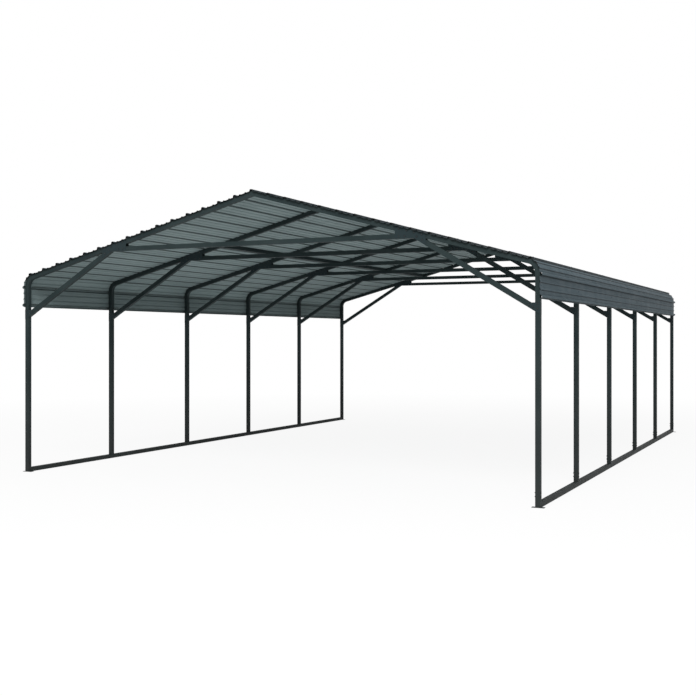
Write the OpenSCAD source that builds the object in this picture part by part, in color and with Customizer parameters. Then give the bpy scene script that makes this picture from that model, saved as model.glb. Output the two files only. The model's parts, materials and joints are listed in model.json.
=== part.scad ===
// Open steel carport: bent-tube bows on legs and ground rails, tied and braced,
// under rib-profiled sheets that run from front to back and wrap the rolled eaves.
// Millimetres. X is across, Y runs from front to back, Z is up, ground at Z = 0.

/* [Plan] */
// Width over the outer faces of the legs
frame_w = 6720; // [5000:10:8000]
// Spacing of the first two bents, centre to centre
front_bay = 1690; // [1200:10:2200]
// Spacing of all the other bents, centre to centre
bay = 1910; // [1400:10:2400]

/* [Tube] */
// Side of the square tube
tube = 53; // [40:1:65]
// Wall of the square tube
tube_wall = 2; // [1.5:0.1:4]

/* [Roof shape] */
// Height of the corner where the side and roof lines of a bow would cross
eave_h = 2491; // [2300:1:3000]
// Roof pitch in degrees
pitch = 15.1; // [10:0.1:20]
// Outer radius of the bend at the eave
eave_r = 150; // [120:1:260]
// Outer radius of the bend at the ridge
ridge_r = 130; // [100:5:300]

/* [Bracing] */
// Height of the underside of the collar ties above the eave corner
tie_rise = 287; // [240:1:400]
// Depth below the eave corner at which the lower edge of a knee brace meets its leg
brace_drop = 506; // [420:1:620]
// Height of the joint between a leg and its bow above the foot of the brace
joint_rise = 31; // [10:1:60]
// Distance of the roof struts from the ends of the ties, up the slope
strut_inward = 600; // [380:10:800]

/* [Plates] */
// Thickness of the knee and junction plates
plate_t = 3; // [2:0.5:6]
// Height of the knee plates' top edge above the foot of the brace
knee_plate_rise = 90; // [75:1:140]
// How far a junction plate reaches from the joint towards the ridge
plate_inward = 320; // [200:5:400]
// How far a junction plate reaches from the joint towards the eave
plate_outward = 35; // [20:5:130]

/* [Feet] */
// Thickness of a foot plate
foot_t = 4; // [3:0.5:8]
// Diameter of the anchor holes
anchor_d = 12; // [8:1:16]
// Distance of an anchor hole's centre from the face of the leg
anchor_clear = 23; // [14:1:40]
// Distance of an anchor hole's centre from the end of the foot plate
anchor_edge = 17; // [12:1:30]

/* [Sheets] */
// Thickness of the sheet
sheet_t = 0.6; // [0.4:0.1:1.5]
// How far the sheets reach past the end bents
overhang = 25; // [0:5:150]
// Rib spaces across a roof sheet
pitches_per_sheet = 4; // [3:1:5]
// Shift of the two ribs beside the eave bend, past its start and past its end
bend_shift = 14; // [0:1:25]
// Space between the two ribs on the side
side_drop = 227; // [160:1:280]
// Height of a major rib
rib_h = 24; // [12:1:35]
// Width of a major rib at its foot
rib_base = 44; // [36:1:64]
// Width of a major rib at its top
rib_top = 20; // [14:1:32]
// Height of a minor rib
minor_h = 7; // [4:1:14]
// Width of a minor rib at its foot
minor_base = 30; // [24:1:40]
// Width of a minor rib at its top
minor_top = 12; // [8:1:20]

/* [Hidden] */
bays = 5;
bents = bays + 1;
// Clearance between a sheet and what it lies on
sheet_gap = 0.3;
// Flat steps used for each stretch of a curved sheet
bend_steps = 4;
// Length of sheet that turns down past the top of a lapped rib
lap_lip = 5;
// Flat strip below the lowest rib
hem = 3;
// Past-the-end length of the cuts that open tubes
open_cut = 1;
// Flat steps in the bends of a bow
eave_steps = 20;
ridge_steps = 4;

sheets_per_slope = 3;
ridge_pitches = 2;

half_w = frame_w / 2;
leg_x = half_w - tube / 2;
inner_x = half_w - tube;
frame_l = front_bay + (bays - 1) * bay;
anchor_pitch = tube + 2 * anchor_clear;
foot_l = anchor_pitch + 2 * anchor_edge;
tie_z = eave_h + tie_rise;
brace_foot_z = eave_h - brace_drop;
joint_z = brace_foot_z + joint_rise;
knee_plate_z = brace_foot_z + knee_plate_rise;
apex_z = eave_h + half_w * tan(pitch);
apex_under_z = apex_z - tube / cos(pitch);
bent_y = [for (i = [0:bays]) i == 0 ? -frame_l / 2 : -frame_l / 2 + front_bay + (i - 1) * bay];

// The roof line runs from the ridge, s = 0, over the ridge bend, the slope and
// the eave bend and then down the side, on the outer face of the bows.
bend_angle = 90 - pitch;
eave_tangent = eave_r * tan(bend_angle / 2);
ridge_tangent = ridge_r * tan(pitch);
ridge_arc = ridge_r * pitch * PI / 180;
eave_arc = eave_r * bend_angle * PI / 180;
slope_l = half_w / cos(pitch) - ridge_tangent - eave_tangent;
s_slope = ridge_arc;
s_bend = s_slope + slope_l;
s_side = s_bend + eave_arc;
s_joint = s_side + eave_h - eave_tangent - joint_z;
ridge_centre_z = apex_z - ridge_r / cos(pitch);
eave_centre = [half_w - eave_r, eave_h - eave_tangent];

function backwards(list) = [for (i = [len(list) - 1:-1:0]) list[i]];
function mirrored(points) = [for (p = points) [-p[0], p[1]]];

// Point at distance s along the roof line and h out from it
function roof_point(s, h) =
    s < s_slope ? arc_point([0, ridge_centre_z], ridge_r + h, s / ridge_arc * pitch)
    : s < s_bend ? slope_point(s - s_slope, h)
    : s < s_side ? arc_point(eave_centre, eave_r + h, pitch + (s - s_bend) / eave_arc * bend_angle)
    : [half_w + h, eave_centre[1] - (s - s_side)];

// Point on an arc at an angle from the vertical
function arc_point(centre, r, angle) = centre + r * [sin(angle), cos(angle)];

// Point down the straight slope from the ridge bend
function slope_point(d, h) =
    arc_point([0, ridge_centre_z], ridge_r + h, pitch) + d * [cos(pitch), -sin(pitch)];

function underside_x(z) = (apex_under_z - z) / tan(pitch);
function top_z(x) = apex_z - x * tan(pitch);
function slope_s(x) = s_slope + (x - ridge_r * sin(pitch)) / cos(pitch);

// Knee brace: its upper edge meets the tie and the bow at one point
joint_x = underside_x(tie_z);
strut_s = slope_s(joint_x) - strut_inward;
brace_run = inner_x - joint_x;
brace_rise = tie_z - brace_foot_z;
brace_angle = acos(tube / norm([brace_run, brace_rise])) - atan2(brace_run, brace_rise);
function brace_z(x, up) = brace_foot_z + (inner_x - x) * tan(brace_angle) + up / cos(brace_angle);
function brace_x(z, up) = inner_x - (z - brace_foot_z - up / cos(brace_angle)) / tan(brace_angle);

// Places of the major ribs along the roof line; the eave sheet starts one space
// above the rib at the start of the eave bend
eave_first = ridge_pitches + sheets_per_slope * pitches_per_sheet;
slope_ribs = eave_first + 1;
bend_rib = slope_ribs + 1;
hem_rib = bend_rib + 1;
slope_pitch = (s_bend + bend_shift) / slope_ribs;
function rib_s(k) =
    k <= slope_ribs ? k * slope_pitch : s_side + bend_shift + (k == bend_rib ? 0 : side_drop);
function steps(k) = k == 0 || k == slope_ribs ? bend_steps : 1;

lap_rise = sheet_t + sheet_gap;
lap_run = (rib_base - rib_top) / 2 / rib_h;

SIDES = ["left", "right"];

FRAME_COLOR = [0.23, 0.26, 0.26];
PLATE_COLOR = [0.26, 0.28, 0.29];
SHEET_COLOR = [0.42, 0.46, 0.47];

// Draws its children on one side of the carport
module on_side(side) {
    mirror([side == "left" ? 1 : 0, 0, 0]) children();
}

// Stands a drawing of the cross-section up, l long and centred on y
module along_y(y, l) {
    translate([0, y, 0]) rotate([90, 0, 0]) linear_extrude(height = l, center = true) children();
}

// Square tube along Z with open ends
module upright(z0, z1) {
    difference() {
        translate([-tube / 2, -tube / 2, z0]) cube([tube, tube, z1 - z0]);
        translate([-tube / 2 + tube_wall, -tube / 2 + tube_wall, z0 - open_cut])
            cube([tube - 2 * tube_wall, tube - 2 * tube_wall, z1 - z0 + 2 * open_cut]);
    }
}

// Legs: the end ones stand on foot plates and the others on the rail
module leg(side, i) {
    foot_z = i == 1 || i == bents ? foot_t : tube;
    color(FRAME_COLOR) on_side(side) translate([leg_x, bent_y[i - 1], 0]) upright(foot_z, joint_z);
}

// Line of a bow at an inset from its outer face, from the ridge to the joint with the leg
function bow_half_line(inset, past) = concat(
    [for (j = [1:ridge_steps]) roof_point(ridge_arc * j / ridge_steps, -inset)],
    [for (j = [0:eave_steps]) roof_point(s_bend + eave_arc * j / eave_steps, -inset)],
    [roof_point(s_joint + past, -inset)]);
function bow_line(inset, past) =
    let (half = bow_half_line(inset, past))
    concat(backwards(mirrored(half)), [roof_point(0, -inset)], half);

// Face of a bow between two insets from its outer face
module bow_face(inset, past) {
    polygon(concat(bow_line(inset, past), backwards(bow_line(tube - inset, past))));
}

// Roof bow: one bent tube from leg to leg
module roof_bow(i) {
    color(FRAME_COLOR) difference() {
        along_y(bent_y[i - 1], tube) bow_face(0, 0);
        along_y(bent_y[i - 1], tube - 2 * tube_wall) bow_face(tube_wall, open_cut);
    }
}

// Collar tie: level tube with its ends cut to the slope of the bow
module collar_tie(i) {
    color(FRAME_COLOR) difference() {
        along_y(bent_y[i - 1], tube) tie_face(0, 0);
        along_y(bent_y[i - 1], tube - 2 * tube_wall) tie_face(tube_wall, open_cut);
    }
}

module tie_face(inset, past) {
    low = tie_z + inset;
    high = tie_z + tube - inset;
    polygon([
        [-underside_x(low) - past, low],
        [underside_x(low) + past, low],
        [underside_x(high) + past, high],
        [-underside_x(high) - past, high]]);
}

// Knee braces: one from each leg up to the end of the tie
module knee_braces(i) {
    color(FRAME_COLOR) for (side = SIDES) on_side(side) difference() {
        along_y(bent_y[i - 1], tube) brace_face(0, 0);
        along_y(bent_y[i - 1], tube - 2 * tube_wall) brace_face(tube_wall, open_cut);
    }
}

module brace_face(inset, past) {
    foot = inner_x + past;
    head = tie_z + past;
    polygon([
        [foot, brace_z(foot, inset)],
        [foot, brace_z(foot, tube - inset)],
        [brace_x(head, tube - inset), head],
        [brace_x(head, inset), head]]);
}

// Draws a plate on the front and back of each bent, on both sides
module plates_on_bents() {
    for (y = bent_y) for (side = SIDES) for (face = [-1, 1])
        on_side(side) along_y(y + face * (tube + plate_t) / 2, plate_t) children();
}

// Knee plates: over the joint of leg, bow and brace
module knee_plates() {
    top_x = brace_x(knee_plate_z, tube);
    end_x = top_x - tube * sin(brace_angle);
    color(PLATE_COLOR) plates_on_bents() polygon([
        [half_w, brace_z(half_w, 0)],
        [half_w, knee_plate_z],
        [top_x, knee_plate_z],
        [end_x, brace_z(end_x, 0)]]);
}

// Junction plates: over the joint of bow, tie and brace
module junction_plates() {
    in_x = joint_x - plate_inward;
    out_x = joint_x + plate_outward;
    color(PLATE_COLOR) plates_on_bents() polygon([
        [in_x, tie_z],
        [in_x, top_z(in_x)],
        [out_x, top_z(out_x)],
        [out_x, brace_z(out_x, 0)],
        [brace_x(tie_z, 0), tie_z]]);
}

// Base rail: tube on the ground between the two end legs
module base_rail(side) {
    rail_l = frame_l - tube;
    color(FRAME_COLOR) on_side(side) translate([leg_x, rail_l / 2, tube / 2])
        rotate([90, 0, 0]) upright(0, rail_l);
}

// Foot plates: under the four end legs, with anchor holes to each side
module foot_plates() {
    color(PLATE_COLOR) for (x = [-leg_x, leg_x]) for (y = [-frame_l / 2, frame_l / 2])
        translate([x, y, 0]) difference() {
            translate([-foot_l / 2, -tube / 2, 0]) cube([foot_l, tube, foot_t]);
            for (hole = [-anchor_pitch / 2, anchor_pitch / 2])
                translate([hole, 0, -open_cut])
                    cylinder(d = anchor_d, h = foot_t + 2 * open_cut, $fn = 32);
        }
}

// Roof struts: between the bows from the second bent to the last, on both slopes
module roof_struts() {
    color(FRAME_COLOR) for (i = [1:bays - 1]) for (side = SIDES) on_side(side) {
        mid_y = (bent_y[i] + bent_y[i + 1]) / 2;
        strut_l = bent_y[i + 1] - bent_y[i] - tube;
        difference() {
            along_y(mid_y, strut_l) strut_face(0);
            along_y(mid_y, strut_l + 2 * open_cut) strut_face(tube_wall);
        }
    }
}

// Square in line with the bows, at the strut's place on the slope
module strut_face(inset) {
    s0 = strut_s - tube / 2 + inset;
    s1 = strut_s + tube / 2 - inset;
    polygon([
        roof_point(s0, -inset),
        roof_point(s1, -inset),
        roof_point(s1, inset - tube),
        roof_point(s0, inset - tube)]);
}

// Sheet outlines are lists of [distance along the roof line, height above it].
function minor_rib(c) = [
    [c - minor_base / 2, 0], [c - minor_top / 2, minor_h],
    [c + minor_top / 2, minor_h], [c + minor_base / 2, 0]];
function major_rib(c) = [
    [c - rib_base / 2, 0], [c - rib_top / 2, rib_h],
    [c + rib_top / 2, rib_h], [c + rib_base / 2, 0]];

// Rib that starts a sheet, below the lap of the next sheet up
function lapped_rib(c) = [[c - rib_top / 2, rib_h], [c + rib_top / 2, rib_h], [c + rib_base / 2, 0]];

// Rib that ends a sheet, over the first rib of the next sheet down
function lapping_rib(c) = [
    [c - rib_base / 2 - lap_rise * lap_run, 0],
    [c - rib_top / 2, rib_h + lap_rise],
    [c + rib_top / 2, rib_h + lap_rise],
    [c + rib_top / 2 + lap_lip * lap_run, rib_h + lap_rise - lap_lip]];

// Points inside a flat stretch, so that it can follow a bend
function flat_points(s0, s1, n) = [for (j = [1:1:n - 1]) [s0 + (s1 - s0) * j / n, 0]];

// Stretch from one major rib to the next, with minor ribs at its thirds
function space_points(k) =
    let (a = rib_s(k), b = rib_s(k + 1), n = steps(k),
         m1 = a + (b - a) / 3, m2 = b - (b - a) / 3)
    concat(
        flat_points(a + rib_base / 2, m1 - minor_base / 2, n), minor_rib(m1),
        flat_points(m1 + minor_base / 2, m2 - minor_base / 2, n), minor_rib(m2),
        flat_points(m2 + minor_base / 2, b - rib_base / 2, n));

// Stretches from rib k0 to rib k1 with the major ribs between them
function run_points(k0, k1) = [
    for (k = [k0:k1 - 1])
        for (p = concat(space_points(k), k < k1 - 1 ? major_rib(rib_s(k + 1)) : [])) p];

// Face of a sheet in the cross-section: its lower line and, back again, its upper line
module sheet_face(outline) {
    lower = [for (p = outline) sheet_point(p, sheet_gap)];
    upper = [for (p = outline) sheet_point(p, sheet_gap + sheet_t)];
    polygon(concat(lower, backwards(upper)));
}

// Point of an outline in the cross-section; distances below zero lie left of the ridge
function sheet_point(p, up) =
    let (q = roof_point(abs(p[0]), p[1] + up))
    [p[0] < 0 ? -q[0] : q[0], q[1]];

module sheet(outline) {
    color(SHEET_COLOR) along_y(0, frame_l + tube + 2 * overhang) sheet_face(outline);
}

// Ridge sheet: folded over the ridge and lapping the first sheet of each slope
module ridge_sheet() {
    half = concat(run_points(0, ridge_pitches), lapping_rib(rib_s(ridge_pitches)));
    sheet(concat(backwards(mirrored(half)), major_rib(0), half));
}

// Roof sheets: three on each slope, counted down from the ridge
module roof_sheet(side, i) {
    k0 = ridge_pitches + (i - 1) * pitches_per_sheet;
    k1 = k0 + pitches_per_sheet;
    on_side(side)
        sheet(concat(lapped_rib(rib_s(k0)), run_points(k0, k1), lapping_rib(rib_s(k1))));
}

// Eave sheet: bent round the eave and down to a rib at its hem
module eave_sheet(side) {
    end = rib_s(hem_rib);
    on_side(side) sheet(concat(
        lapped_rib(rib_s(eave_first)),
        run_points(eave_first, hem_rib),
        major_rib(end),
        [[end + rib_base / 2 + hem, 0]]));
}

for (side = SIDES) for (i = [1:bents])
    leg(side, i);
for (i = [1:bents]) {
    roof_bow(i);
    collar_tie(i);
    knee_braces(i);
}
knee_plates();
junction_plates();
for (side = SIDES) {
    base_rail(side);
    eave_sheet(side);
    for (i = [1:sheets_per_slope])
        roof_sheet(side, i);
}
foot_plates();
roof_struts();
ridge_sheet();
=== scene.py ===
"""Looks of an open steel carport: painted square-tube bents under ribbed sheets that wrap the eaves.

Metres, in the frame of the CAD model: X across, Y from front to back, Z up, ground at Z = 0.
"""

import json
import math

import bpy
from mathutils import Matrix, Vector

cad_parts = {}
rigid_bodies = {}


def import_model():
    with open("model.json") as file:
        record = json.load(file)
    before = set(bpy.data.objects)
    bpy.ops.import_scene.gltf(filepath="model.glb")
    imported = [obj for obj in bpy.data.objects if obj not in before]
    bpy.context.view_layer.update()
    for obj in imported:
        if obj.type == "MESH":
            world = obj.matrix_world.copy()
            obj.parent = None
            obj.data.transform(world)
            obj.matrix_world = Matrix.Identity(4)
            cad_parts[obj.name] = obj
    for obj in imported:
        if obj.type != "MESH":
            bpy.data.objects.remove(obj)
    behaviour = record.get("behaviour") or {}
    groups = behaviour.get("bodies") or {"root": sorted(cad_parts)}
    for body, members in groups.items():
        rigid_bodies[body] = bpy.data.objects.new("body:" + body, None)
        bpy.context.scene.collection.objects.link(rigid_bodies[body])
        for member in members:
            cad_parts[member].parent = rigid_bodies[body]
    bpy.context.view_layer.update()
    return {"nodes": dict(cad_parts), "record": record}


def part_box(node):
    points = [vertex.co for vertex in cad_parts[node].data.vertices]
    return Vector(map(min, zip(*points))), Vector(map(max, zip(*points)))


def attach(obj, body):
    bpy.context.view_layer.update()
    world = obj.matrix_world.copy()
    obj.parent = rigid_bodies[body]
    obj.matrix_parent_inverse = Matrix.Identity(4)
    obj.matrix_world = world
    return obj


BENTS = 6
BODY = "root"

# Camera, fitted to the legs, rails and eaves in the photograph
IMAGE_PX = 696
FOCAL_PX = 1040.1
HORIZON_PX = 337.55
CAMERA_YAW = math.radians(25.232)
CAMERA_AT = Vector((6.076, -15.000, 1.720))
CLIP_END = 200.0
SENSOR = 36.0

# Roof line, ribs, sheets and plates, as in the CAD model
PITCH = math.radians(15.1)
EAVE_R = 0.150
RIDGE_R = 0.130
SLOPE_SPACES = 15
BEND_SHIFT = 0.014
SIDE_DROP = 0.227
RIB_H = 0.024
LAP_RIBS = (2, 6, 10, 14)
SHEET_TOP = 0.0009
PLATE_T = 0.003

# Junction bolts: X from the tie's end, and how far those of bow and brace sit above the tube's middle line
BOW_BOLTS = (-0.274, -0.186, -0.098, -0.010)
TIE_BOLTS = (-0.273, -0.206)
BRACE_BOLTS = (-0.067, -0.006)
BOLT_LIFT = 0.006

# Knee bolts: up from the leg's top, and inwards from its inner face
KNEE_LEG_BOLTS = (-0.003, 0.049)
KNEE_BRACE_BOLTS = (0.026, 0.060)

# Foot bolts: height above the ground
FOOT_BOLT_Z = (0.11, 0.15)

# Fasteners: rings of (radius, height) from the seat up
WASHER = {"sides": 20, "rings": ((0.0080, 0.0), (0.0080, 0.0013), (0.0076, 0.0016))}
BOLT_HEAD = {"sides": 6, "rings": ((0.0075, 0.0016), (0.0075, 0.0060), (0.0064, 0.0069))}
NUT = {"sides": 6, "rings": ((0.0066, 0.0016), (0.0075, 0.0024), (0.0075, 0.0074), (0.0066, 0.0082))}
BOLT_TIP = {"sides": 16, "rings": ((0.0040, 0.0082), (0.0040, 0.0115), (0.0034, 0.0122))}
SEAL = {"sides": 20, "rings": ((0.0078, 0.0), (0.0080, 0.0014), (0.0070, 0.0026))}
SCREW_HEAD = {"sides": 6, "rings": ((0.0047, 0.0026), (0.0047, 0.0060), (0.0040, 0.0066))}

# Linear colours
FRAME_DARK = (0.019, 0.029, 0.030)
FRAME_PALE = (0.028, 0.040, 0.041)
FRAME_EDGE = (0.052, 0.070, 0.072)
FRAME_DUST = (0.034, 0.036, 0.035)
PLATE_DARK = (0.020, 0.031, 0.034)
PLATE_PALE = (0.025, 0.037, 0.040)
SHEET_OUT_DARK = (0.064, 0.094, 0.110)
SHEET_OUT_PALE = (0.076, 0.108, 0.126)
SHEET_IN_DARK = (0.188, 0.241, 0.244)
SHEET_IN_PALE = (0.222, 0.281, 0.284)
# Painted shade on the sheets' cut ends and on the strips of roof sheet past the end bows
SHEET_END_SHADE = (0.010, 0.013, 0.014)
# Colour of painted shade: in corners, on the ribs' lower flanks, in their hollows, and inside below the eave
PAINTED_SHADE = (0.006, 0.008, 0.008)
BOLT_DARK = (0.012, 0.014, 0.015)
BOLT_PALE = (0.024, 0.027, 0.028)
WHITE = (1.0, 1.0, 1.0)

# Wear and dust, and painted shade in corners, on the ribs' lower flanks, in their hollows and inside below
# the eave: reach in metres, and the largest share of the colour
FRAME_WEAR_REACH = 0.0015
BOLT_WEAR_REACH = 0.001
BOLT_WEAR = 0.6
DUST_TOP = 1.7
DUST = 0.9
NOOK_REACH = 0.03
FRAME_NOOK_SHADE = 0.35
SHEET_NOOK_SHADE = 0.6
FLANK_SHADE = 0.7
HOLLOW_SHADE = 0.5
EAVE_SHADE_FADE = 0.03
EAVE_SHADE = 0.24

# Least slope, against the roof's own direction, of a flank outside and of a hollow inside that get painted
# shade
FLANK_SLOPE = 0.6
HOLLOW_SLOPE = 1.2

# Share of a face's normal along Y from which it is a cut end of a sheet
CUT_FACING = 0.9

# Gloss, low because the white surroundings pale what is seen at a flat angle, and metal in the bolts' plating
FRAME_GLOSS = 0.05
SHEET_GLOSS = 0.04
BOLT_METAL = 0.35

# Floor: its size, its greys, and its share of plain white near the part, rising to all of it further out
FLOOR_HALF = 45.0
FLOOR_DROP = 0.001
FLOOR_SEEN = 0.90
FLOOR_BOUNCE = 0.78
FLOOR_GLOW = 0.90
FLOOR_GLOW_FROM = 7.0
FLOOR_GLOW_TO = 16.0

# Light: an even sky, a large lamp at the front right, and a weak one on the ground under the roof
SKY_STRENGTH = 0.56
KEY_LAMP = {"at": (5.0, -16.0, 12.0), "towards": (0.0, -3.0, 1.5), "size": (8.0, 8.0), "power": 2050.0}
BOUNCE_LAMP = {"at": (0.0, 0.3, 0.05), "towards": (0.0, 0.3, 3.0), "size": (6.2, 8.6), "power": 60.0}


def clear_scene():
    for obj in list(bpy.data.objects):
        bpy.data.objects.remove(obj)


class Shader:
    """Adds nodes to a material or world.

    A plain value given to an input is set on it, and a socket is linked to it.
    """

    def __init__(self, owner):
        owner.use_nodes = True
        self.owner = owner
        self.tree = owner.node_tree
        self.tree.nodes.clear()

    def add(self, kind, inputs=None, **settings):
        node = self.tree.nodes.new(kind)
        for key, value in settings.items():
            setattr(node, key, value)
        for key, value in (inputs or {}).items():
            socket = node.inputs[key]
            if isinstance(value, bpy.types.NodeSocket):
                self.tree.links.new(value, socket)
            elif socket.type == "RGBA" and len(value) == 3:
                socket.default_value = (*value, 1.0)
            else:
                socket.default_value = value
        return node

    def noise(self, vector, scale, detail):
        inputs = {"Vector": vector, "Scale": scale, "Detail": detail}
        return self.add("ShaderNodeTexNoise", inputs).outputs["Fac"]

    def stretched(self, vector, scale):
        return self.add("ShaderNodeMapping", {"Vector": vector, "Scale": scale}).outputs["Vector"]

    def math(self, operation, a, b=0.0, clamp=False):
        return self.add("ShaderNodeMath", {0: a, 1: b}, operation=operation, use_clamp=clamp).outputs[0]

    def spread(self, value, low, high, to_low=0.0, to_high=1.0):
        return self.add("ShaderNodeMapRange", {
            "Value": value, "From Min": low, "From Max": high,
            "To Min": to_low, "To Max": to_high}).outputs["Result"]

    def pick(self, share, none, full):
        """From one value at a share of zero to another at a share of one."""
        return self.spread(share, 0.0, 1.0, none, full)

    def mix(self, factor, a, b):
        inputs = {"Factor": factor, "A": a, "B": b}
        return self.add("ShaderNodeMix", inputs, data_type="RGBA").outputs["Result"]

    def place(self):
        return self.add("ShaderNodeTexCoord").outputs["Object"]

    def axes(self, vector):
        return self.add("ShaderNodeSeparateXYZ", {0: vector}).outputs

    def edges(self, radius):
        """One along sharp edges and zero away from them."""
        rounded = self.add("ShaderNodeBevel", {"Radius": radius}, samples=4).outputs["Normal"]
        flat = self.add("ShaderNodeNewGeometry").outputs["Normal"]
        product = self.add("ShaderNodeVectorMath", {0: rounded, 1: flat}, operation="DOT_PRODUCT")
        return self.spread(product.outputs["Value"], low=0.99, high=0.80)

    def nooks(self, distance):
        """One deep in corners and zero on open faces."""
        open_share = self.add("ShaderNodeAmbientOcclusion", {"Distance": distance}, samples=8).outputs["AO"]
        return self.math("SUBTRACT", 1.0, open_share, clamp=True)

    def bump(self, height, strength, distance, normal=None):
        inputs = {"Height": height, "Strength": strength, "Distance": distance}
        if normal is not None:
            inputs["Normal"] = normal
        return self.add("ShaderNodeBump", inputs).outputs["Normal"]

    def output(self, kind, node):
        self.add(kind, {"Surface": node.outputs[0]})

    def surface(self, inputs):
        self.output("ShaderNodeOutputMaterial", self.add("ShaderNodeBsdfPrincipled", inputs))
        return self.owner


def new_shader(name):
    return Shader(bpy.data.materials.new(name))


def powder_coat(name, dark, pale):
    """Satin powder coat: orange peel, cloudy tone, paler worn edges, dust that thickens downwards, and
    painted shade in corners.
    """
    shader = new_shader(name)
    place = shader.place()
    clouds = shader.noise(place, scale=2.3, detail=4.0)
    patches = shader.noise(place, scale=6.0, detail=3.0)
    near_ground = shader.spread(shader.axes(place)["Z"], low=DUST_TOP, high=0.0, to_high=DUST)
    dusty = shader.math("MULTIPLY", near_ground, shader.spread(patches, low=0.35, high=0.65, to_low=0.6))
    clean = shader.mix(shader.spread(clouds, low=0.35, high=0.65), dark, pale)
    tone = shader.mix(dusty, clean, FRAME_DUST)
    wear = shader.spread(patches, low=0.40, high=0.65, to_low=0.10, to_high=0.60)
    worn = shader.math("MULTIPLY", shader.edges(FRAME_WEAR_REACH), wear)
    # Painted shade in corners, from ambient occlusion
    corner_shade = shader.math("MULTIPLY", shader.nooks(NOOK_REACH), FRAME_NOOK_SHADE)
    colour = shader.mix(corner_shade, shader.mix(worn, tone, FRAME_EDGE), PAINTED_SHADE)
    smears = shader.noise(place, scale=9.0, detail=3.0)
    rough = shader.spread(smears, low=0.3, high=0.7, to_low=0.52, to_high=0.62)
    peel = shader.bump(shader.noise(place, scale=700.0, detail=1.0), strength=0.06, distance=0.0004)
    waves = shader.noise(place, scale=35.0, detail=2.0)
    normal = shader.bump(waves, strength=0.05, distance=0.002, normal=peel)
    return shader.surface({
        "Base Color": colour, "Roughness": rough, "Normal": normal, "Specular IOR Level": FRAME_GLOSS})


def roof_sides(shader, place, normal, eave):
    """Which faces of the sheets lie outside the roof, on the ribs' lower flanks, and in their hollows.

    The roof's own direction is that of the slope up to the eave bend, and then turns about the bend's centre.
    """
    normal_x = shader.math("MULTIPLY", normal["X"], shader.math("SIGN", place["X"]))
    past = shader.math("SUBTRACT", shader.math("ABSOLUTE", place["X"]), eave.x)
    above = shader.math("MAXIMUM", shader.math("SUBTRACT", place["Z"], eave.y), 0.0)
    on_slope = shader.math("LESS_THAN", past, 0.0)
    out_x = shader.pick(on_slope, past, math.sin(PITCH))
    out_z = shader.pick(on_slope, above, math.cos(PITCH))
    out_parts = (shader.math("MULTIPLY", normal_x, out_x), shader.math("MULTIPLY", normal["Z"], out_z))
    down_parts = (shader.math("MULTIPLY", normal_x, out_z), shader.math("MULTIPLY", normal["Z"], out_x))
    out = shader.math("ADD", *out_parts)
    down = shader.math("SUBTRACT", *down_parts)
    outside = shader.math("GREATER_THAN", out, 0.0)
    flank = shader.math("GREATER_THAN", down, shader.math("MULTIPLY", out, FLANK_SLOPE))
    lower = shader.math("MULTIPLY", outside, flank)
    least = shader.math("MULTIPLY", shader.math("ABSOLUTE", out), HOLLOW_SLOPE)
    steep = shader.math("GREATER_THAN", shader.math("ABSOLUTE", down), least)
    hollow = shader.math("MULTIPLY", steep, shader.math("SUBTRACT", 1.0, outside))
    return outside, lower, hollow


def coil_coat(eave, end_y):
    """Coil-coated sheet: bluer outside and paler inside, streaked, slightly dented, and with painted shade
    along its ribs and in corners.

    The inside has painted shade below the eave bend.
    The cut ends, and the strips of roof sheet past end_y, are painted dark as shade.
    """
    shader = new_shader("sheet_coat")
    place = shader.place()
    place_axes = shader.axes(place)
    normal_axes = shader.axes(shader.add("ShaderNodeNewGeometry").outputs["True Normal"])
    outside, lower, hollow = roof_sides(shader, place_axes, normal_axes, eave)
    streaks = shader.noise(shader.stretched(place, scale=(14.0, 0.7, 14.0)), scale=1.0, detail=4.0)
    clouds = shader.noise(place, scale=1.1, detail=3.0)
    tone = shader.spread(shader.math("ADD", streaks, clouds), low=0.75, high=1.25)
    out_clean = shader.mix(tone, SHEET_OUT_DARK, SHEET_OUT_PALE)
    in_clean = shader.mix(tone, SHEET_IN_DARK, SHEET_IN_PALE)
    # Painted shade on the ribs' lower flanks outside
    out_colour = shader.mix(shader.math("MULTIPLY", lower, FLANK_SHADE), out_clean, PAINTED_SHADE)
    # Painted shade inside: below the eave bend, and in the ribs' hollows
    below_eave_shade = shader.spread(
        place_axes["Z"], low=eave.y + EAVE_SHADE_FADE, high=eave.y - EAVE_SHADE_FADE, to_high=EAVE_SHADE)
    in_shade = shader.math("MAXIMUM", shader.math("MULTIPLY", hollow, HOLLOW_SHADE), below_eave_shade)
    in_colour = shader.mix(in_shade, in_clean, PAINTED_SHADE)
    # Painted shade in corners, from ambient occlusion
    corner_shade = shader.math("MULTIPLY", shader.nooks(NOOK_REACH), SHEET_NOOK_SHADE)
    coat = shader.mix(corner_shade, shader.mix(outside, in_colour, out_colour), PAINTED_SHADE)
    # Painted shade on the cut ends and on the strips of roof sheet past the end bows
    cut = shader.math("GREATER_THAN", shader.math("ABSOLUTE", normal_axes["Y"]), CUT_FACING)
    past_end = shader.math("GREATER_THAN", shader.math("ABSOLUTE", place_axes["Y"]), end_y)
    over_eave = shader.math("GREATER_THAN", place_axes["Z"], eave.y + EAVE_R / 2)
    strip = shader.math("MULTIPLY", past_end, over_eave)
    colour = shader.mix(shader.math("MAXIMUM", cut, strip), coat, SHEET_END_SHADE)
    smears = shader.noise(place, scale=5.0, detail=3.0)
    rough = shader.spread(smears, low=0.3, high=0.7, to_low=0.50, to_high=0.62)
    waves = shader.noise(shader.stretched(place, scale=(5.0, 1.6, 5.0)), scale=1.0, detail=1.0)
    dents = shader.bump(waves, strength=0.15, distance=0.004)
    grain = shader.noise(place, scale=500.0, detail=1.0)
    normal = shader.bump(grain, strength=0.05, distance=0.0003, normal=dents)
    return shader.surface({
        "Base Color": colour, "Roughness": rough, "Normal": normal, "Specular IOR Level": SHEET_GLOSS})


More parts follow.
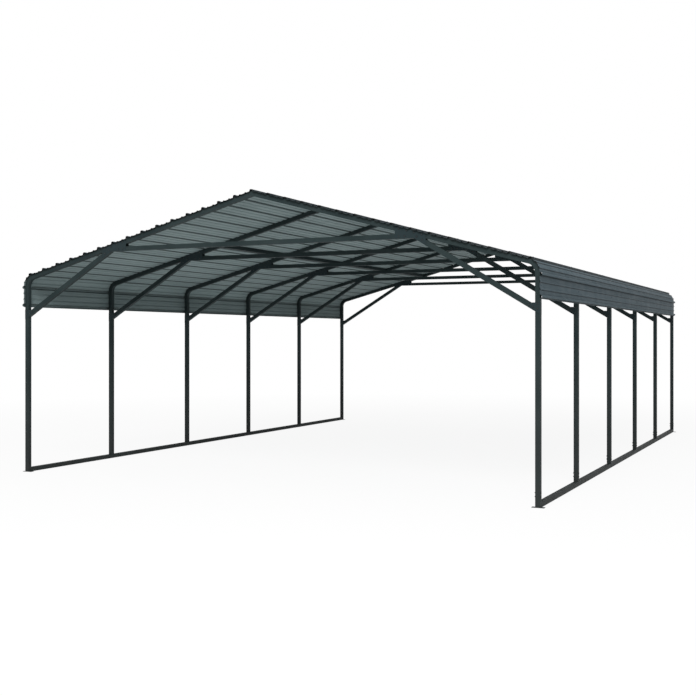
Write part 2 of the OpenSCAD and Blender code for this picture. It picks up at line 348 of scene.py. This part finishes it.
def bolt_finish():
    """Dark plated fasteners with worn crowns."""
    shader = new_shader("bolt_finish")
    place = shader.place()
    clouds = shader.noise(place, scale=40.0, detail=3.0)
    tone = shader.mix(shader.spread(clouds, low=0.35, high=0.65), BOLT_DARK, BOLT_PALE)
    worn = shader.math("MULTIPLY", shader.edges(BOLT_WEAR_REACH), BOLT_WEAR)
    colour = shader.mix(worn, tone, FRAME_EDGE)
    smears = shader.noise(place, scale=220.0, detail=2.0)
    rough = shader.spread(smears, low=0.3, high=0.7, to_low=0.38, to_high=0.55)
    normal = shader.bump(shader.noise(place, scale=900.0, detail=2.0), strength=0.10, distance=0.0002)
    return shader.surface({
        "Base Color": colour, "Roughness": rough, "Normal": normal, "Metallic": BOLT_METAL})


def stack(sides, rings):
    """Closed solid from level rings, each (radius, height), with the same number of sides."""
    verts = []
    for radius, height in rings:
        for i in range(sides):
            angle = 2 * math.pi * i / sides
            verts.append(Vector((radius * math.cos(angle), radius * math.sin(angle), height)))
    faces = [tuple(reversed(range(sides)))]
    for level in range(len(rings) - 1):
        for i in range(sides):
            a = level * sides + i
            b = level * sides + (i + 1) % sides
            faces.append((a, b, b + sides, a + sides))
    top = (len(rings) - 1) * sides
    faces.append(tuple(range(top, top + sides)))
    return verts, faces


def scatter(name, stacks, places, material):
    """One mesh with a copy of the stacks at each place, heads along the place's Z."""
    verts = []
    faces = []
    for place in places:
        for fastener in stacks:
            new_verts, new_faces = stack(**fastener)
            start = len(verts)
            verts.extend(place @ v for v in new_verts)
            faces.extend(tuple(start + i for i in face) for face in new_faces)
    mesh = bpy.data.meshes.new(name)
    mesh.from_pydata(verts, [], faces)
    mesh.materials.append(material)
    obj = bpy.data.objects.new(name, mesh)
    bpy.context.scene.collection.objects.link(obj)
    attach(obj, BODY)


def facing(point, direction):
    """Place at a point, turned so that Z looks along the direction."""
    turn = Vector(direction).to_track_quat("Z", "Y").to_matrix().to_4x4()
    return Matrix.Translation(Vector(point)) @ turn


class Bent:
    """Sizes of the bents, read from the frame."""

    def __init__(self):
        legs = [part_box(f"right_leg_{i + 1}") for i in range(BENTS)]
        tie_low, tie_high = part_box("collar_tie_1")
        brace_low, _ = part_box("knee_braces_1")
        leg_low, leg_high = legs[0]
        self.half_w = leg_high.x
        self.tube = leg_high.x - leg_low.x
        self.leg_x = self.half_w - self.tube / 2
        self.inner_x = self.half_w - self.tube
        self.joint_z = leg_high.z
        self.ys = [(low.y + high.y) / 2 for low, high in legs]
        self.tie_z = tie_low.z
        self.joint_x = tie_high.x
        self.foot_z = brace_low.z
        # The brace's lower edge starts at the leg, and its upper edge ends at the tie's lower corner
        run = self.inner_x - self.joint_x
        rise = self.tie_z - self.foot_z
        self.brace_angle = math.acos(self.tube / math.hypot(run, rise)) - math.atan2(run, rise)

    def bow_z(self, x):
        """Height of the bow's middle line on the slope."""
        return self.tie_z + (self.joint_x - x) * math.tan(PITCH) + self.tube / 2 / math.cos(PITCH)

    def brace_z(self, x):
        """Height of the brace's middle line."""
        rise = (self.inner_x - x) * math.tan(self.brace_angle)
        return self.foot_z + rise + self.tube / 2 / math.cos(self.brace_angle)


def plate_bolt_points(bent):
    """Points (X, Z) of the bolts of one side of a bent."""
    points = [(bent.joint_x + d, bent.bow_z(bent.joint_x + d) + BOLT_LIFT) for d in BOW_BOLTS]
    points += [(bent.joint_x + d, bent.tie_z + bent.tube / 2) for d in TIE_BOLTS]
    points += [(bent.joint_x + d, bent.brace_z(bent.joint_x + d) + BOLT_LIFT) for d in BRACE_BOLTS]
    points += [(bent.leg_x, bent.joint_z + d) for d in KNEE_LEG_BOLTS]
    points += [(bent.inner_x - d, bent.brace_z(bent.inner_x - d)) for d in KNEE_BRACE_BOLTS]
    return points


def add_bolts(bent, material):
    heads = []
    nuts = []
    half = bent.tube / 2
    for y in bent.ys:
        for side in (-1, 1):
            for x, z in plate_bolt_points(bent):
                heads.append(facing((side * x, y - half - PLATE_T, z), (0, -1, 0)))
                nuts.append(facing((side * x, y + half + PLATE_T, z), (0, 1, 0)))
            for z in FOOT_BOLT_Z:
                heads.append(facing((side * bent.half_w, y, z), (side, 0, 0)))
                nuts.append(facing((side * bent.inner_x, y, z), (-side, 0, 0)))
    scatter("bolt_heads", (WASHER, BOLT_HEAD), heads, material)
    scatter("bolt_nuts", (WASHER, NUT, BOLT_TIP), nuts, material)


class RoofLine:
    """Outer line of the bows, by distance from the ridge."""

    def __init__(self, bent):
        bow_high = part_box("roof_bow_1")[1]
        bend = math.pi / 2 - PITCH
        tangent = EAVE_R * math.tan(bend / 2)
        self.ridge = Vector((0, bow_high.z - RIDGE_R))
        apex_z = self.ridge.y + RIDGE_R / math.cos(PITCH)
        eave_z = apex_z - bent.half_w * math.tan(PITCH)
        self.eave = Vector((bent.half_w - EAVE_R, eave_z - tangent))
        self.ridge_arc = RIDGE_R * PITCH
        slope = bent.half_w / math.cos(PITCH) - RIDGE_R * math.tan(PITCH) - tangent
        self.slope_end = self.ridge_arc + slope
        self.bend_end = self.slope_end + EAVE_R * bend
        self.space = (self.slope_end + BEND_SHIFT) / SLOPE_SPACES

    def at(self, s, up):
        """Point (X, Z) and outward direction at distance s, up from the line."""
        if s < self.slope_end:
            centre = self.ridge
            radius = RIDGE_R
            angle = min(s / RIDGE_R, PITCH)
            along = max(s - self.ridge_arc, 0.0)
        else:
            centre = self.eave
            radius = EAVE_R
            angle = min(PITCH + (s - self.slope_end) / EAVE_R, math.pi / 2)
            along = max(s - self.bend_end, 0.0)
        out = Vector((math.sin(angle), math.cos(angle)))
        down = Vector((math.cos(angle), -math.sin(angle)))
        return centre + out * (radius + up) + down * along, out


def add_sheet_screws(bent, roof, material):
    """Screws into the bows between the ribs, and through the laps between the bents."""
    places = []
    middles = [(k + 0.5) * roof.space for k in range(SLOPE_SPACES)]
    middles.append(roof.bend_end + BEND_SHIFT + SIDE_DROP / 2)
    for side in (-1, 1):
        for s in middles:
            point, out = roof.at(s, SHEET_TOP)
            for y in bent.ys:
                places.append(facing((side * point.x, y, point.y), (side * out.x, 0, out.y)))
        for k in LAP_RIBS:
            point, out = roof.at(k * roof.space, RIB_H + 2 * SHEET_TOP)
            for a, b in zip(bent.ys, bent.ys[1:]):
                places.append(facing((side * point.x, (a + b) / 2, point.y), (side * out.x, 0, out.y)))
    scatter("sheet_screws", (SEAL, SCREW_HEAD), places, material)


def paint_nodes(frame, roof):
    end_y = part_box(f"roof_bow_{BENTS}")[1].y
    finishes = {
        "frame_paint": powder_coat("frame_coat", FRAME_DARK, FRAME_PALE),
        "plate_paint": powder_coat("plate_coat", PLATE_DARK, PLATE_PALE),
        "sheet_paint": coil_coat(roof.eave, end_y),
    }
    for row in frame["record"]["subparts"]:
        node = frame["nodes"][row["node"]]
        for slot in node.material_slots:
            slot.material = finishes[row["material_slot"]]


def add_camera():
    data = bpy.data.cameras.new("camera")
    data.sensor_width = SENSOR
    data.lens = FOCAL_PX / IMAGE_PX * SENSOR
    data.shift_y = (HORIZON_PX - IMAGE_PX / 2) / IMAGE_PX
    data.clip_end = CLIP_END
    camera = bpy.data.objects.new("camera", data)
    camera.location = CAMERA_AT
    camera.rotation_euler = (math.pi / 2, 0, CAMERA_YAW)
    bpy.context.scene.collection.objects.link(camera)
    bpy.context.scene.camera = camera


def white_rays(shader):
    """One for rays that show the background as it is: from the camera, from gloss and through glass."""
    light = shader.add("ShaderNodeLightPath")
    seen = shader.math("MAXIMUM", light.outputs["Is Camera Ray"], light.outputs["Is Glossy Ray"])
    return shader.math("MAXIMUM", seen, light.outputs["Is Transmission Ray"])


def add_floor():
    mesh = bpy.data.meshes.new("floor")
    corners = [(-1, -1), (1, -1), (1, 1), (-1, 1)]
    points = [(FLOOR_HALF * x, FLOOR_HALF * y, -FLOOR_DROP) for x, y in corners]
    mesh.from_pydata(points, [], [(0, 1, 2, 3)])
    floor = bpy.data.objects.new("floor", mesh)
    bpy.context.scene.collection.objects.link(floor)
    shader = new_shader("floor_white")
    seen = white_rays(shader)
    tone = shader.pick(seen, FLOOR_BOUNCE, FLOOR_SEEN)
    lit = shader.add("ShaderNodeBsdfDiffuse", {"Color": tone})
    white = shader.add("ShaderNodeEmission", {"Color": WHITE, "Strength": 1.0})
    away = shader.add("ShaderNodeVectorMath", {0: shader.place()}, operation="LENGTH").outputs["Value"]
    glow = shader.spread(away, FLOOR_GLOW_FROM, FLOOR_GLOW_TO, FLOOR_GLOW, 1.0)
    share = shader.math("MULTIPLY", seen, glow)
    both = shader.add("ShaderNodeMixShader", {0: share, 1: lit.outputs[0], 2: white.outputs[0]})
    shader.output("ShaderNodeOutputMaterial", both)
    mesh.materials.append(shader.owner)


def add_sky():
    world = bpy.data.worlds.new("studio")
    shader = Shader(world)
    strength = shader.pick(white_rays(shader), SKY_STRENGTH, 1.0)
    background = shader.add("ShaderNodeBackground", {"Color": WHITE, "Strength": strength})
    shader.output("ShaderNodeOutputWorld", background)
    bpy.context.scene.world = world


def add_lamp(name, at, towards, size, power):
    data = bpy.data.lights.new(name, "AREA")
    data.shape = "ELLIPSE"
    data.size, data.size_y = size
    data.energy = power
    lamp = bpy.data.objects.new(name, data)
    lamp.location = at
    lamp.rotation_euler = (Vector(towards) - Vector(at)).to_track_quat("-Z", "Y").to_euler()
    lamp.visible_camera = False
    lamp.visible_glossy = False
    bpy.context.scene.collection.objects.link(lamp)


def main():
    clear_scene()
    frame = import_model()
    bpy.context.scene.view_settings.view_transform = "Standard"
    add_camera()
    bent = Bent()
    roof = RoofLine(bent)
    paint_nodes(frame, roof)
    add_bolts(bent, bolt_finish())
    add_sheet_screws(bent, roof, powder_coat("screw_coat", SHEET_OUT_DARK, SHEET_OUT_PALE))
    add_floor()
    add_sky()
    add_lamp("key", **KEY_LAMP)
    add_lamp("bounce", **BOUNCE_LAMP)


main()
